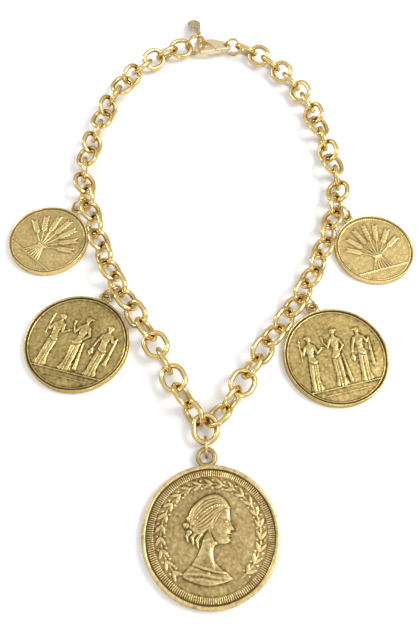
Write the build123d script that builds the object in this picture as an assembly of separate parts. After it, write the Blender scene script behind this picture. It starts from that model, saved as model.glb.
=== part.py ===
from build123d import *
from math import acos, asin, cos, degrees, radians, sin, sqrt
import os

# A heavy cable chain necklace that lies on a table, closed with a lobster clasp,
# with five cast coin charms on jump rings.  Millimetres.
# Frame: +X to the right and +Y towards the clasp as it lies, +Z up.
# The origin is the middle of the whole necklace's box, on the table.

# Cable chain: plain soldered oval links
link_wire = 1.85
link_hole_length = 7.45
link_hole_width = 5.9
links_per_side = 29
chain_play = 0.25

# End ring of the left strand and ring of the clasp
end_ring_outer = 10.0
end_ring_wire = 1.35
clasp_ring_outer = 8.0
clasp_ring_wire = 1.0

# Lobster clasp
clasp_length = 17.5
clasp_width = 9.0
clasp_thickness = 2.8
clasp_bevel = 28.0
clasp_nose = 2.6
clasp_nose_thickness = 2.0
clasp_tail_bar = 1.2
clasp_tail_hole = 2.7
clasp_tail_thickness = 1.6
clasp_height = 3.6
nose_play = 1.7
tail_play = 0.55
opening_length = 6.9
lever_width = 1.8
lever_gap = 0.15
lever_open_angle = 15.0
lever_spare_angle = 1.0
hinge_pin_diameter = 0.9
hinge_running_gap = 0.05
hinge_tongue = 1.1
knuckle_wall = 0.95
lever_cut_angles = (0, lever_open_angle / 2, lever_open_angle + lever_spare_angle)

# Clasp seen from above: rounds and half width as shares of its width, places as shares
# of its length, and the side step of its hinge as a share of its width
nose_round_share = 0.36
back_round_share = 0.41
back_half_share = 0.48
back_place_share = 0.5
hinge_place_share = 0.67
hinge_side_share = 0.24

# Opening of the claw: its corner round, its shoulder as shares, and where its curve ends
opening_corner = 1.2
opening_shoulder_x = 0.55
opening_shoulder_y = 0.62
opening_end_rise = 0.9

# Jump rings of the coins
jump_ring_outer = 7.8
jump_ring_wire = 0.9
jump_ring_play = 0.2

# Coins, with the cast eye that each hangs by
centre_radius = 22.0
centre_thickness = 2.8
centre_eye_hole = 4.0
centre_eye_wire = 1.6
lower_radius = 19.0
lower_thickness = 2.6
lower_eye_hole = 2.4
lower_eye_wire = 1.2
upper_radius = 15.5
upper_thickness = 2.5
upper_eye_hole = 2.2
upper_eye_wire = 1.1
centre_rim = 1.4
lower_rim = 0.65
upper_rim = 0.55
edge_chamfer = 0.25
field_depth = 0.7
relief_height = 0.5
eye_sink = 0.15
relief_root = 0.2

# Heights of some of the relief, as shares of relief_height
hair_share = 1.3
dentil_share = 0.6
border_share = 0.7
groove_edge_share = 0.5

# Tag: a thin cast petal with its own eye, which the end ring holds up and the table props
tag_length = 21.0
tag_width = 5.6
tag_thickness = 0.9
tag_eye_hole = 2.5
tag_eye_wire = 0.8
tag_play = 0.15

# How the chain lies.  Near the coins the links stand on edge so far that a jump ring
# still passes under their lower side.
link_bend = (link_hole_width + link_wire) / 2
link_straight = (link_hole_length - link_hole_width) / 2
link_slope = 52.0
pass_under_gap = 0.29
link_height = link_bend * sin(radians(link_slope)) + link_wire / 2 + jump_ring_wire + pass_under_gap
link_pitch = link_hole_length - chain_play

# Chosen points of the chain's route on the table, from the centre link up the left strand,
# over the clasp and down the right strand: x, y, and height as a share of link_height
chain_route = [
    (-0.6, -45.4, 0.88), (-8.8, -33.9, 0.92), (-19.3, -15.2, 0.94), (-31.3, 2.5, 1.0),
    (-41.4, 21.2, 0.98), (-48.9, 41.7, 1.0), (-54.2, 62.2, 0.96), (-51.6, 84.1, 0.92),
    (-47.0, 103.3, 0.92), (-38.0, 121.0, 0.92), (-26.3, 133.0, 0.92), (-14.4, 139.4, 0.86),
    (-4.5, 142.0, 0.70), (6.3, 141.6, 0.76), (20.4, 133.7, 0.92), (31.8, 121.6, 0.92),
    (41.9, 102.8, 0.92), (47.3, 81.4, 0.92), (51.3, 61.1, 0.96), (47.3, 40.0, 1.0),
    (40.0, 19.2, 0.98), (30.0, 0.2, 1.0), (18.2, -18.0, 0.94), (7.8, -36.0, 0.92),
    (-0.6, -45.4, 0.88),
]

# How far the links are rolled about the route, in degrees, at chosen links: link, roll.
# Every odd link stands a quarter turn further round.
left_rolls = [
    (1, 25), (2, 55), (3, 80), (5, 80), (6, 58), (8, 38), (15, 38), (16, 31),
    (17, 9), (18, -18), (20, -71), (23, -155), (26, -230), (29, -250),
]
right_rolls = [
    (1, 133), (2, 102), (3, 83), (4, 60), (6, 38), (15, 38), (17, 12),
    (18, -18), (22, -138), (23, -146), (29, -146),
]

# Pose of the centre link: its steps from the route, height as a share of link_height,
# then degrees
centre_link_step_x = 0.22
centre_link_step_y = -0.15
centre_link_height = 0.78
centre_link_heading = -3.0
centre_link_lean = 8.0
centre_link_roll = 2.0

# Poses of the two rings at the clasp, in degrees, with their step aside from the route
end_ring_turn = 0.0
end_ring_lean = -5.0
end_ring_roll = 85.0
end_ring_aside = 0.0
clasp_ring_turn = -11.5
clasp_ring_lean = 22.5
clasp_ring_roll = 70.0
clasp_ring_aside = -0.16
tag_place_on_ring = 20.0
tag_heading = -10.5

# Kinds of coin: radius, thickness, eye hole, eye wire and rim width
coin_kinds = {
    "centre": (centre_radius, centre_thickness, centre_eye_hole, centre_eye_wire, centre_rim),
    "lower": (lower_radius, lower_thickness, lower_eye_hole, lower_eye_wire, lower_rim),
    "upper": (upper_radius, upper_thickness, upper_eye_hole, upper_eye_wire, upper_rim),
}

# Coins on the table.  Columns: node, kind, strand, link, held point along the link from its
# middle, heading of the jump ring, hang of the coin and turn of its picture, the last
# three in degrees clockwise from +Y
coins = [
    ("centre", "centre", "centre", 0, 0.0, -4.8, -5.0, 0.0),
    ("lower_left", "lower", "left", 9, -1.16, 56.8, 24.9, 13.0),
    ("lower_right", "lower", "right", 9, 1.73, -43.8, -22.2, -15.2),
    ("upper_left", "upper", "left", 15, -1.72, 53.9, 32.2, 39.7),
    ("upper_right", "upper", "right", 15, 1.74, -59.0, -34.5, -18.2),
]


def direction(heading, lean=0.0):
    """Unit vector at a heading clockwise from +Y, leaning up by some degrees."""
    flat = cos(radians(lean))
    return Vector(sin(radians(heading)) * flat, cos(radians(heading)) * flat, sin(radians(lean)))


def interpolate(table, position):
    """Value of a two-column table at a position, straight between its rows."""
    for (start, low), (end, high) in zip(table, table[1:]):
        if position <= end:
            return low + (high - low) * (position - start) / (end - start)
    return table[-1][1]


def link_plane(centre, travel, roll):
    """Plane of a link or ring: x along the chain, y across, z out of its face."""
    side = Vector(0, 0, 1).cross(travel).normalized()
    rise = travel.cross(side)
    across = side * cos(radians(roll)) + rise * sin(radians(roll))
    return Plane(origin=centre, x_dir=travel, z_dir=travel.cross(across))


def oval_link():
    """One soldered oval link of round wire, flat in its own plane."""
    end = Rot(0, 0, -90) * Torus(link_bend, link_wire / 2, major_angle=180, align=None)
    side = Rot(0, 90, 0) * Cylinder(link_wire / 2, 2 * link_straight)
    right = Pos(link_straight, 0, 0) * end
    left = Rot(0, 0, 180) * right
    return right + left + Pos(0, link_bend, 0) * side + Pos(0, -link_bend, 0) * side


def round_ring(outer, wire):
    """One closed jump ring of round wire."""
    return Torus((outer - wire) / 2, wire / 2)


# Stations along the route, measured from the centre link
first_link = (link_hole_width + link_hole_length) / 2 - chain_play
strand = (links_per_side - 1) * link_pitch
end_ring_hole = end_ring_outer - 2 * end_ring_wire
clasp_ring_hole = clasp_ring_outer - 2 * clasp_ring_wire
end_ring_station = first_link + strand + link_hole_length / 2 + end_ring_hole / 2 - chain_play
clasp_tip_station = end_ring_station + end_ring_hole / 2 - nose_play - clasp_nose
clasp_tail_station = clasp_tip_station + clasp_length
clasp_ring_station = clasp_tail_station - clasp_tail_bar + clasp_ring_hole / 2 - tail_play
last_right_station = clasp_ring_station + clasp_ring_hole / 2 + link_hole_length / 2 - chain_play
loop_length = last_right_station + strand + first_link


def route_curve(scale):
    return Spline([Vector(x * scale, y * scale, share * link_height) for x, y, share in chain_route])


# The chosen route is drawn to the loop's real length; two rounds leave no error that counts
route_scale = 1.0
for _ in range(2):
    route_scale *= loop_length / route_curve(route_scale).length
route = route_curve(route_scale)


def at_station(distance):
    """Place and travel direction on the route at a distance from the centre link."""
    place = route.position_at(distance, position_mode=PositionMode.LENGTH)
    travel = route.tangent_at(distance, position_mode=PositionMode.LENGTH)
    return place, travel


def strand_link_plane(side, number):
    distance = first_link + (number - 1) * link_pitch
    if side == "right":
        distance = loop_length - distance
    place, travel = at_station(distance)
    roll = interpolate(left_rolls if side == "left" else right_rolls, number)
    return link_plane(place, travel, roll + 90 * (number % 2))


centre_place = at_station(0)[0]
centre_link_plane = link_plane(
    Vector(
        centre_place.X + centre_link_step_x,
        centre_place.Y + centre_link_step_y,
        centre_link_height * link_height,
    ),
    direction(centre_link_heading, centre_link_lean),
    centre_link_roll,
)


def coin_hold(side, number, along):
    """The point of a link's centre line that a jump ring hangs on: on its low side,
    round its bend where the straight side ends, or at the near end of the centre link."""
    if side == "centre":
        return centre_link_plane.from_local_coords(Vector(-link_bend - link_straight, 0, 0))
    plane = strand_link_plane(side, number)
    past = max(abs(along) - link_straight, 0) / link_bend
    way = 1 if along > 0 else -1
    x = way * (min(abs(along), link_straight) + link_bend * sin(past))
    return plane.from_local_coords(Vector(x, -link_bend * cos(past), 0))


def clasp_plan():
    """Outline of the clasp seen from above: blunt nose, full back and a narrow tail eye."""
    nose_radius = clasp_width * nose_round_share
    back_radius = clasp_width * back_round_share
    tail_radius = clasp_tail_bar + clasp_tail_hole / 2
    nose_offset = clasp_width / 2 - nose_radius
    back_offset = clasp_width * back_half_share - back_radius
    circles = Sketch()
    for way in (1, -1):
        circles += Pos(nose_radius, way * nose_offset) * Circle(nose_radius)
        circles += Pos(clasp_length * back_place_share, way * back_offset) * Circle(back_radius)
    circles += Pos(clasp_length - tail_radius, 0) * Circle(tail_radius)
    return make_hull(circles.edges())


def clasp_side():
    """Outline of the clasp seen from the side, thin at the nose and thinner at the tail."""
    nose = clasp_nose_thickness / 2
    middle = clasp_thickness / 2
    tail = clasp_tail_thickness / 2
    circles = Pos(nose, 0) * Circle(nose) + Pos(clasp_length * back_place_share, 0) * Circle(middle)
    circles += Pos(clasp_length - tail, 0) * Circle(tail)
    return make_hull(circles.edges())


# Hinge of the lever, and the places of its bar, in the clasp's own frame:
# x from the nose to the tail, y towards the back, z through the thickness
hinge_x = clasp_length * hinge_place_share
hinge_y = -clasp_width * hinge_side_share
lever_tip_x = clasp_nose + lever_gap
lever_outer_y = -clasp_width / 2
lever_inner_y = lever_outer_y + lever_width
opening_end_x = clasp_nose + opening_length
opening_back_y = clasp_width / 2 - lever_width
knuckle_radius = hinge_pin_diameter / 2 + knuckle_wall
cheek_x = hinge_x - knuckle_radius - 2 * lever_gap


def lever_plan(grow=0.0):
    """Outline of the lever's bar and of the knuckle round its pin, grown by a gap."""
    bar = Polygon(
        (lever_tip_x - grow, lever_outer_y - clasp_width),
        (hinge_x, lever_outer_y - clasp_width),
        (hinge_x, hinge_y),
        (cheek_x, lever_inner_y + grow),
        (lever_tip_x - grow, lever_inner_y + grow),
        align=None,
    )
    return bar + Pos(hinge_x, hinge_y) * Circle(knuckle_radius + grow)


def turned_lever(shape, angle):
    """The lever's shape opened by an angle about its hinge."""
    return Pos(hinge_x, hinge_y) * Rot(0, 0, -angle) * Pos(-hinge_x, -hinge_y) * shape


def through(sketch, thickness):
    return extrude(sketch, amount=thickness / 2, both=True)


def clasp_envelope():
    """The whole clasp before its opening and lever are cut: its plan, bevelled towards
    both faces, and its side outline together."""
    side = extrude(Plane.XZ * clasp_side(), amount=clasp_width, both=True)
    half = extrude(clasp_plan(), amount=clasp_thickness / 2, taper=clasp_bevel)
    return (half + mirror(half, Plane.XY)) & side


def clasp_body():
    """Claw, back, tail eye and cheeks of the clasp, with the pin between the cheeks."""
    front = (clasp_nose, lever_inner_y - lever_gap)
    corner = (clasp_nose, opening_back_y - opening_corner)
    back = (clasp_nose + opening_corner, opening_back_y)
    shoulder = (clasp_nose + opening_length * opening_shoulder_x, opening_back_y * opening_shoulder_y)
    end = (opening_end_x, lever_inner_y + opening_end_rise)
    root = (opening_end_x, lever_inner_y - lever_gap)
    opening = make_face([
        Line(front, corner),
        TangentArc(corner, back, tangent=(0, 1)),
        Spline(back, shoulder, end, tangents=((1, 0), (0.55, -1))),
        Line(end, root),
        Line(root, front),
    ])
    body = clasp_envelope() - through(opening, clasp_thickness)
    bar_room = Sketch() + [turned_lever(lever_plan(lever_gap), angle) for angle in lever_cut_angles]
    tip_room = Pos(cheek_x - clasp_length, 0) * Rectangle(2 * clasp_length, 4 * clasp_width)
    body -= through(bar_room & tip_room, clasp_thickness)
    body -= through(bar_room, hinge_tongue + 2 * lever_gap)
    tail_eye = Pos(clasp_length - clasp_tail_bar - clasp_tail_hole / 2, 0) * Circle(clasp_tail_hole / 2)
    body -= through(tail_eye, clasp_thickness)
    pin = Pos(hinge_x, hinge_y) * Circle(hinge_pin_diameter / 2)
    return body + through(pin, hinge_tongue + 4 * lever_gap)


def clasp_lever():
    """The sprung lever: a bar as thick as the clasp, and a thin tongue round the pin."""
    bar_side = Pos(cheek_x - lever_gap - clasp_length, 0) * Rectangle(2 * clasp_length, 4 * clasp_width)
    bar = clasp_envelope() & through(lever_plan() & bar_side, clasp_thickness)
    tongue = clasp_envelope() & through(lever_plan(), hinge_tongue)
    hole = Pos(hinge_x, hinge_y) * Circle(hinge_pin_diameter / 2 + hinge_running_gap)
    return bar + tongue - through(hole, clasp_thickness)


def stroke(x0, y0, x1, y1, width0, width1):
    """A tapered stroke of relief between two round ends."""
    ends = Pos(x0, y0) * Circle(width0 / 2) + Pos(x1, y1) * Circle(width1 / 2)
    return make_hull(ends.edges())


def leaf(length, width):
    """A pointed leaf from the origin along +X."""
    tips = (0, 0), (length, 0)
    sides = [ThreePointArc(tips[0], (length / 2, way * width / 2), tips[1]) for way in (1, -1)]
    return make_face(sides)


def raised(shapes, field, height):
    """Relief of a height on the coin's field, rooted a little below it."""
    return Pos(0, 0, field - relief_root) * extrude(Sketch() + shapes, amount=height + relief_root)


# Bust of a draped figure facing right, its face drawn on even thirds.
# Outlines are shares of the coin's radius.
head_outline = [
    (0.24, 0.40), (0.27, 0.33), (0.28, 0.21), (0.27, 0.18), (0.34, 0.08), (0.285, 0.05), (0.30, 0.02),
    (0.28, 0.008), (0.292, -0.012), (0.268, -0.035), (0.285, -0.07), (0.25, -0.11), (0.10, -0.13),
]
neck_outline = [
    (0.05, -0.2), (0.06, -0.34), (0.15, -0.44), (0.27, -0.52), (0.30, -0.60), (0.0, -0.68), (-0.28, -0.63),
    (-0.38, -0.55), (-0.25, -0.40), (-0.15, -0.22), (-0.1, -0.05), (0.0, 0.2),
]
hair_outline = [
    (0.27, 0.38), (0.2, 0.50), (0.08, 0.57), (-0.08, 0.54), (-0.22, 0.44), (-0.31, 0.32), (-0.33, 0.18),
    (-0.28, 0.04), (-0.16, -0.02), (-0.06, 0.04), (0.04, 0.12), (0.08, 0.26), (0.18, 0.34),
]

# Teeth inside the rim: their length as a share of the radius, the gap beside the rim,
# and the share of each pitch that the tooth fills
dentil_count = 180
dentil_length = 0.09
dentil_gap = 0.2
dentil_fill = 0.55

# Leaf border.  Sizes are shares of the radius, and each pair of leaves leans both ways
border_leaf_pairs = 21
border_open_angle = 78.0
border_path = 0.72
border_lean = 28.0
border_leaf_length = 0.14
border_leaf_width = 0.055
berry_radius = 0.016
berry_step = 0.055


def shape_from(outline, radius):
    points = [Vector(x * radius, y * radius) for x, y in outline]
    return make_face([Spline(points + points[:1])])


def bust(radius):
    face = [Vector(x * radius, y * radius) for x, y in head_outline]
    neck = [Vector(x * radius, y * radius) for x, y in neck_outline]
    outline = [Spline(face), Line(face[-1], neck[0]), Spline(neck), Line(neck[-1], face[0])]
    return make_face(outline)


def dentils(radius, rim_width):
    """The ring of small radial teeth just inside the rim."""
    length = dentil_length * radius
    outer = radius - rim_width - dentil_gap
    tooth = Rectangle(length, outer * radians(360 / dentil_count) * dentil_fill)
    return [place * tooth for place in PolarLocations(outer - length / 2, dentil_count)]


def leaf_border(radius):
    """A wreath of paired leaves and berries, open below the bust."""
    span = 360 - border_open_angle
    shapes = []
    for number in range(border_leaf_pairs):
        angle = 270 + border_open_angle / 2 + span * (number + 0.5) / border_leaf_pairs
        place = Rot(0, 0, angle) * Pos(border_path * radius, 0)
        for way in (-1, 1):
            turned = place * Rot(0, 0, 90 + way * border_lean)
            shapes.append(turned * leaf(border_leaf_length * radius, border_leaf_width * radius))
            shapes.append(place * Pos(way * berry_step * radius, 0) * Circle(berry_radius * radius))
    return shapes


# Robe of a standing figure whose hips swing to the right, as shares of the coin's radius
robe_outline = [
    (0.03, 0.37), (0.09, 0.315), (0.085, 0.22), (0.058, 0.10), (0.105, -0.03), (0.10, -0.20),
    (0.088, -0.40), (0.13, -0.56), (0.09, -0.60), (0.0, -0.61), (-0.08, -0.60), (-0.115, -0.56),
    (-0.085, -0.40), (-0.08, -0.20), (-0.07, -0.03), (-0.062, 0.10), (-0.09, 0.22), (-0.095, 0.30),
    (-0.03, 0.37),
]

# Where the robes stand, all shares.  Columns: place along the ground line, 1 or -1 for hips
# to the right or left, and height as a share of the outline's
robes = [(-0.48, 1, 1.0), (0.02, -1, 1.05), (0.50, 1, 0.98)]

# Heads, necks, arms and what the figures hold, a figure to each group.  Columns, all shares
# of the coin's radius: start x, start y, end x, end y, start width, end width
limbs = [
    (-0.48, 0.47, -0.475, 0.44, 0.115, 0.095), (-0.54, 0.485, -0.55, 0.48, 0.05, 0.045),
    (-0.48, 0.40, -0.48, 0.35, 0.055, 0.07), (-0.565, 0.295, -0.62, 0.15, 0.065, 0.05),
    (-0.62, 0.15, -0.655, 0.24, 0.05, 0.035), (-0.66, 0.05, -0.665, 0.40, 0.022, 0.03),
    (-0.665, 0.43, -0.66, 0.50, 0.05, 0.015), (-0.395, 0.295, -0.35, 0.14, 0.065, 0.05),
    (-0.35, 0.14, -0.25, 0.20, 0.05, 0.035), (-0.275, 0.225, -0.205, 0.225, 0.028, 0.028),

    (0.02, 0.525, 0.015, 0.49, 0.115, 0.095), (0.08, 0.535, 0.09, 0.53, 0.05, 0.045),
    (0.02, 0.45, 0.02, 0.395, 0.055, 0.07), (0.105, 0.34, 0.175, 0.19, 0.065, 0.05),
    (0.175, 0.19, 0.085, 0.08, 0.05, 0.04), (-0.065, 0.34, -0.13, 0.20, 0.065, 0.05),
    (-0.13, 0.20, -0.20, 0.33, 0.05, 0.035), (-0.205, 0.36, -0.215, 0.43, 0.035, 0.06),
    (0.13, 0.02, 0.20, -0.52, 0.035, 0.075),

    (0.50, 0.45, 0.505, 0.42, 0.115, 0.095), (0.44, 0.465, 0.43, 0.46, 0.05, 0.045),
    (0.50, 0.385, 0.50, 0.33, 0.055, 0.07), (0.415, 0.28, 0.36, 0.13, 0.065, 0.05),
    (0.36, 0.13, 0.335, 0.01, 0.05, 0.035), (0.33, -0.03, 0.33, -0.11, 0.05, 0.10),
    (0.33, -0.11, 0.33, -0.17, 0.06, 0.03), (0.585, 0.28, 0.65, 0.16, 0.065, 0.05),
    (0.65, 0.16, 0.70, 0.25, 0.05, 0.035), (0.70, 0.26, 0.69, -0.30, 0.03, 0.075),
]

# How far the figures lean, as a step aside for each step up
figure_lean = 0.12

# Ground line with a shorter and finer one under it, and the dark groove inside the rim,
# which a low ring borders
ground_height = -0.62
ground_reach = 0.70
ground_width = 0.028
second_ground_drop = 1.18
second_ground_reach = 0.42
second_ground_width = 0.014
groove_width = 0.45
groove_edge_width = 0.4


def standing_figures(radius):
    shapes = []
    for place, way, height in robes:
        outline = []
        for x, y in robe_outline:
            level = ground_height + (y - ground_height) * height
            outline.append((place + way * x + figure_lean * level, level))
        shapes.append(shape_from(outline, radius))
    for x0, y0, x1, y1, width0, width1 in limbs:
        row = (x0 + figure_lean * y0, y0, x1 + figure_lean * y1, y1, width0, width1)
        shapes.append(stroke(*[value * radius for value in row]))
    second_height = ground_height * second_ground_drop
    for reach, level, width in (
        (ground_reach, ground_height, ground_width),
        (second_ground_reach, second_height, second_ground_width),
    ):
        row = (-reach, level, reach, level, width, width)
        shapes.append(stroke(*[value * radius for value in row]))
    return shapes


# Sheaf of wheat.  Columns: foot x, tip x and tip y of each stalk, shares of the radius
stalks = [
    (-0.16, -0.62, 0.12), (-0.11, -0.50, 0.38), (-0.055, -0.27, 0.58), (0.0, 0.0, 0.66),
    (0.055, 0.27, 0.58), (0.11, 0.50, 0.38), (0.16, 0.62, 0.12),
]
stalk_width = 0.035
tie_height = -0.22
tie_reach = 0.10
tie_gather = 0.35
foot_splay = 1.6
sheaf_ground_reach = 0.66
grain_pairs = 6
grain_start = 0.52
grain_lean = 28.0
grain_length = 0.15
grain_width = 0.065


def wheat_sheaf(radius):
    """Seven ears tied in a sheaf on a ground line."""
    width = stalk_width * radius
    tie = tie_height * radius
    ground = ground_height * radius
    shapes = []
    for foot_x, tip_x, tip_y in stalks:
        tied = Vector(foot_x * radius * tie_gather, tie)
        tip = Vector(tip_x * radius, tip_y * radius)
        shapes.append(stroke(foot_x * foot_splay * radius, ground, tied.X, tied.Y, width, width))
        shapes.append(stroke(tied.X, tied.Y, tip.X, tip.Y, width, width))
        rise = tip - tied
        lean = degrees(acos(rise.X / rise.length))
        for number in range(grain_pairs):
            place = tied + rise * (grain_start + (1 - grain_start) * number / (grain_pairs - 1))
            for way in (-1, 1):
                grain = Rot(0, 0, lean + way * grain_lean) * leaf(grain_length * radius, grain_width * radius)
                shapes.append(Pos(place.X, place.Y) * grain)
    shapes.append(stroke(-tie_reach * radius, tie, tie_reach * radius, tie, 2 * width, 2 * width))
    reach = sheaf_ground_reach * radius
    shapes.append(stroke(-reach, ground, reach, ground, width, width))
    return shapes


def coin_blank(radius, thickness, rim_width):
    """A struck disc whose rim stands proud of its sunk field."""
    blank = Pos(0, 0, thickness / 2) * Cylinder(radius, thickness)
    blank = chamfer(blank.edges(), edge_chamfer)
    return blank - Pos(0, 0, thickness) * Cylinder(radius - rim_width, 2 * field_depth)


def centre_relief():
    field = centre_thickness - field_depth
    return [
        raised([bust(centre_radius)], field, relief_height),
        raised([shape_from(hair_outline, centre_radius)], field, hair_share * relief_height),
        raised(dentils(centre_radius, centre_rim), field, dentil_share * relief_height),
        raised(leaf_border(centre_radius), field, border_share * relief_height),
    ]


def lower_relief():
    field = lower_thickness - field_depth
    inner = lower_radius - lower_rim - groove_width
    groove_edge = Circle(inner) - Circle(inner - groove_edge_width)
    return [
        raised(standing_figures(lower_radius), field, relief_height),
        raised([groove_edge], field, groove_edge_share * relief_height),
    ]


def upper_relief():
    return [raised(wheat_sheaf(upper_radius), upper_thickness - field_depth, relief_height)]


reliefs = {"centre": centre_relief, "lower": lower_relief, "upper": upper_relief}


def coin_and_ring(kind, side, link, along, ring_heading, hang, turn):
    """A coin with its cast eye, laid where its jump ring lets it reach from its link."""
    radius, thickness, eye_hole, eye_wire, rim_width = coin_kinds[kind]
    ring_middle = (jump_ring_outer - jump_ring_wire) / 2
    ring_height = jump_ring_outer / 2
    eye_height = thickness - eye_wire / 2
    held = coin_hold(side, link, along)
    slack = ring_middle - jump_ring_wire / 2 - link_wire / 2 - jump_ring_play
    reach = sqrt(slack ** 2 - (ring_height - held.Z) ** 2)
    toward_link = direction(ring_heading)
    ring_centre = Vector(held.X, held.Y, ring_height) - toward_link * reach
    drop = ring_height - eye_height
    eye = ring_centre - toward_link * sqrt(ring_middle ** 2 - drop ** 2) - Vector(0, 0, drop)
    eye_reach = radius + (eye_hole + eye_wire) / 2 - eye_sink * eye_wire
    middle = eye - direction(hang) * eye_reach
    eye_ring = Torus((eye_hole + eye_wire) / 2, eye_wire / 2)
    blank = coin_blank(radius, thickness, rim_width)
    eye_local = direction(hang - turn) * eye_reach + Vector(0, 0, eye_height)
    coin = blank + Pos(*eye_local) * eye_ring + reliefs[kind]()
    placed = Pos(middle.X, middle.Y, 0) * Rot(0, 0, -turn) * coin
    ring_plane = Plane(origin=ring_centre, x_dir=toward_link, z_dir=toward_link.cross(Vector(0, 0, 1)))
    ring = ring_plane.location * round_ring(jump_ring_outer, jump_ring_wire)
    return placed, ring


def chain_strand(side):
    """One strand of the chain, link by link from the centre link to the clasp."""
    link = oval_link()
    planes = [strand_link_plane(side, number) for number in range(1, links_per_side + 1)]
    return Compound([(plane.location * link).solid() for plane in planes])


def standing_ring_plane(station, turn, lean, roll, aside, outer, wire):
    """Plane of a ring that stands on the table at a station of the route."""
    place, travel = at_station(station)
    flat = Vector(travel.X, travel.Y, 0).normalized()
    side = Vector(0, 0, 1).cross(flat)
    flat = flat.rotate(Axis.Z, -turn)
    way = flat * cos(radians(lean)) + Vector(0, 0, sin(radians(lean)))
    middle = Vector(place.X, place.Y, 0) + side * aside
    plane = link_plane(middle, way, roll)
    height = (outer - wire) / 2 * sqrt(1 - plane.z_dir.Z ** 2) + wire / 2
    return Plane(origin=middle + Vector(0, 0, height), x_dir=plane.x_dir, z_dir=plane.z_dir)


def petal():
    """Outline of the tag, from its narrow root along +X."""
    half = tag_width / 2
    edge = [(0, 0.22), (0.3, 0.55), (0.68, 1.0), (0.92, 0.78), (1.0, 0.1)]
    upper = [Vector(x * tag_length, y * half) for x, y in edge]
    lower = [Vector(x * tag_length, -y * half) for x, y in reversed(edge)]
    outline = [Spline(upper), Line(upper[-1], lower[0]), Spline(lower), Line(lower[-1], upper[0])]
    return make_face(outline)


def hung_tag(ring_plane):
    """The tag: its eye round the end ring's wire near the top, its tip on the table."""
    around = radians(tag_place_on_ring)
    ring_middle = (end_ring_outer - end_ring_wire) / 2
    held = ring_plane.origin + (ring_plane.x_dir * sin(around) + ring_plane.y_dir * cos(around)) * ring_middle
    wire_way = ring_plane.x_dir * cos(around) - ring_plane.y_dir * sin(around)
    slack = (tag_eye_hole - end_ring_wire) / 2 - tag_play
    eye_middle = (tag_eye_hole + tag_eye_wire) / 2
    reach = slack + eye_middle + tag_length
    slope = degrees(asin((held.Z - tag_thickness / 2) / reach))
    way = direction(tag_heading, -slope)
    eye_axis = (wire_way - way * way.dot(wire_way)).normalized()
    eye_plane = Plane(origin=held + way * slack, x_dir=way, z_dir=eye_axis)
    side = Vector(0, 0, 1).cross(way).normalized()
    petal_plane = Plane(origin=held + way * (slack + eye_middle), x_dir=way, z_dir=way.cross(side))
    eye = eye_plane.location * Torus(eye_middle, tag_eye_wire / 2)
    return eye + petal_plane.location * through(petal(), tag_thickness)


tip = at_station(clasp_tip_station)[0]
tail = at_station(clasp_tail_station)[0]
clasp_way = Vector(tail.X - tip.X, tail.Y - tip.Y, 0).normalized()
clasp_plane = Plane(origin=(tip.X, tip.Y, clasp_height), x_dir=clasp_way, z_dir=(0, 0, 1))
end_ring_plane = standing_ring_plane(
    end_ring_station, end_ring_turn, end_ring_lean, end_ring_roll, end_ring_aside,
    end_ring_outer, end_ring_wire,
)
clasp_ring_plane = standing_ring_plane(
    clasp_ring_station, clasp_ring_turn, clasp_ring_lean, clasp_ring_roll, clasp_ring_aside,
    clasp_ring_outer, clasp_ring_wire,
)

pieces = {
    "chain_left": chain_strand("left"),
    "chain_right": chain_strand("right"),
    "centre_link": centre_link_plane.location * oval_link(),
    "end_ring": end_ring_plane.location * round_ring(end_ring_outer, end_ring_wire),
    "clasp_ring": clasp_ring_plane.location * round_ring(clasp_ring_outer, clasp_ring_wire),
    "clasp_body": clasp_plane.location * clasp_body(),
    "clasp_lever": clasp_plane.location * clasp_lever(),
    "tag": hung_tag(end_ring_plane),
}
for node, *row in coins:
    coin, ring = coin_and_ring(*row)
    pieces["coin_" + node] = coin
    pieces["ring_" + node] = ring

box = Compound([solid for piece in pieces.values() for solid in piece.solids()]).bounding_box()
to_origin = Pos(-(box.min.X + box.max.X) / 2, -(box.min.Y + box.max.Y) / 2, -box.min.Z)
os.makedirs("parts", exist_ok=True)
for name, piece in pieces.items():
    export_step(to_origin * piece, f"parts/{name}.step")
hinge = clasp_plane.from_local_coords(Vector(hinge_x, hinge_y, 0)) + to_origin.position
print("loop length", round(loop_length, 1), "route scale", round(route_scale, 4))
print("lever hinge at", hinge, "clasp tip at", clasp_plane.origin + to_origin.position)
print("end ring middle at", end_ring_plane.origin + to_origin.position)
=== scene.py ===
from math import cos, pi, radians, sin

import bmesh
import bpy
import numpy as np
from mathutils import Matrix, Vector


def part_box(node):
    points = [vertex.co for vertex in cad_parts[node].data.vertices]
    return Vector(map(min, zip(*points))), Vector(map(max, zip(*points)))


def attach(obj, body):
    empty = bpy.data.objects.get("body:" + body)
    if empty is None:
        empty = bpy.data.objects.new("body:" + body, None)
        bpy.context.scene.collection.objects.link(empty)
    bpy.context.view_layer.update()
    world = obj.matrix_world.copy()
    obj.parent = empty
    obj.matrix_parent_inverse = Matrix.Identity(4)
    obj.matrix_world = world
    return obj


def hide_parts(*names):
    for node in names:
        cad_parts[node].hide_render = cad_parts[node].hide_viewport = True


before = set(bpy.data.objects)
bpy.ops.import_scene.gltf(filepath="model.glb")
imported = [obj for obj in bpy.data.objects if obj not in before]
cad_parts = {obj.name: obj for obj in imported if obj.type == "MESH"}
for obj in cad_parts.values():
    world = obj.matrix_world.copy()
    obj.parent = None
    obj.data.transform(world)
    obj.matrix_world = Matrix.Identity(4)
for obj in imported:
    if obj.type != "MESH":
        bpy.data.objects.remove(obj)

bpy.ops.object.select_all(action="DESELECT")
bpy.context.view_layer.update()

# The camera looks down on the necklace from the side of the large coin, tilted a
# little off the vertical and turned a little in its own frame.
coin_low, coin_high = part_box("coin_centre")
coin_reach = 0.022
coin_middle = Vector((coin_high.x - coin_reach, coin_low.y + coin_reach, 0))
camera_offset = Vector((-0.0024, -0.0287, 0.2111))
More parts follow.
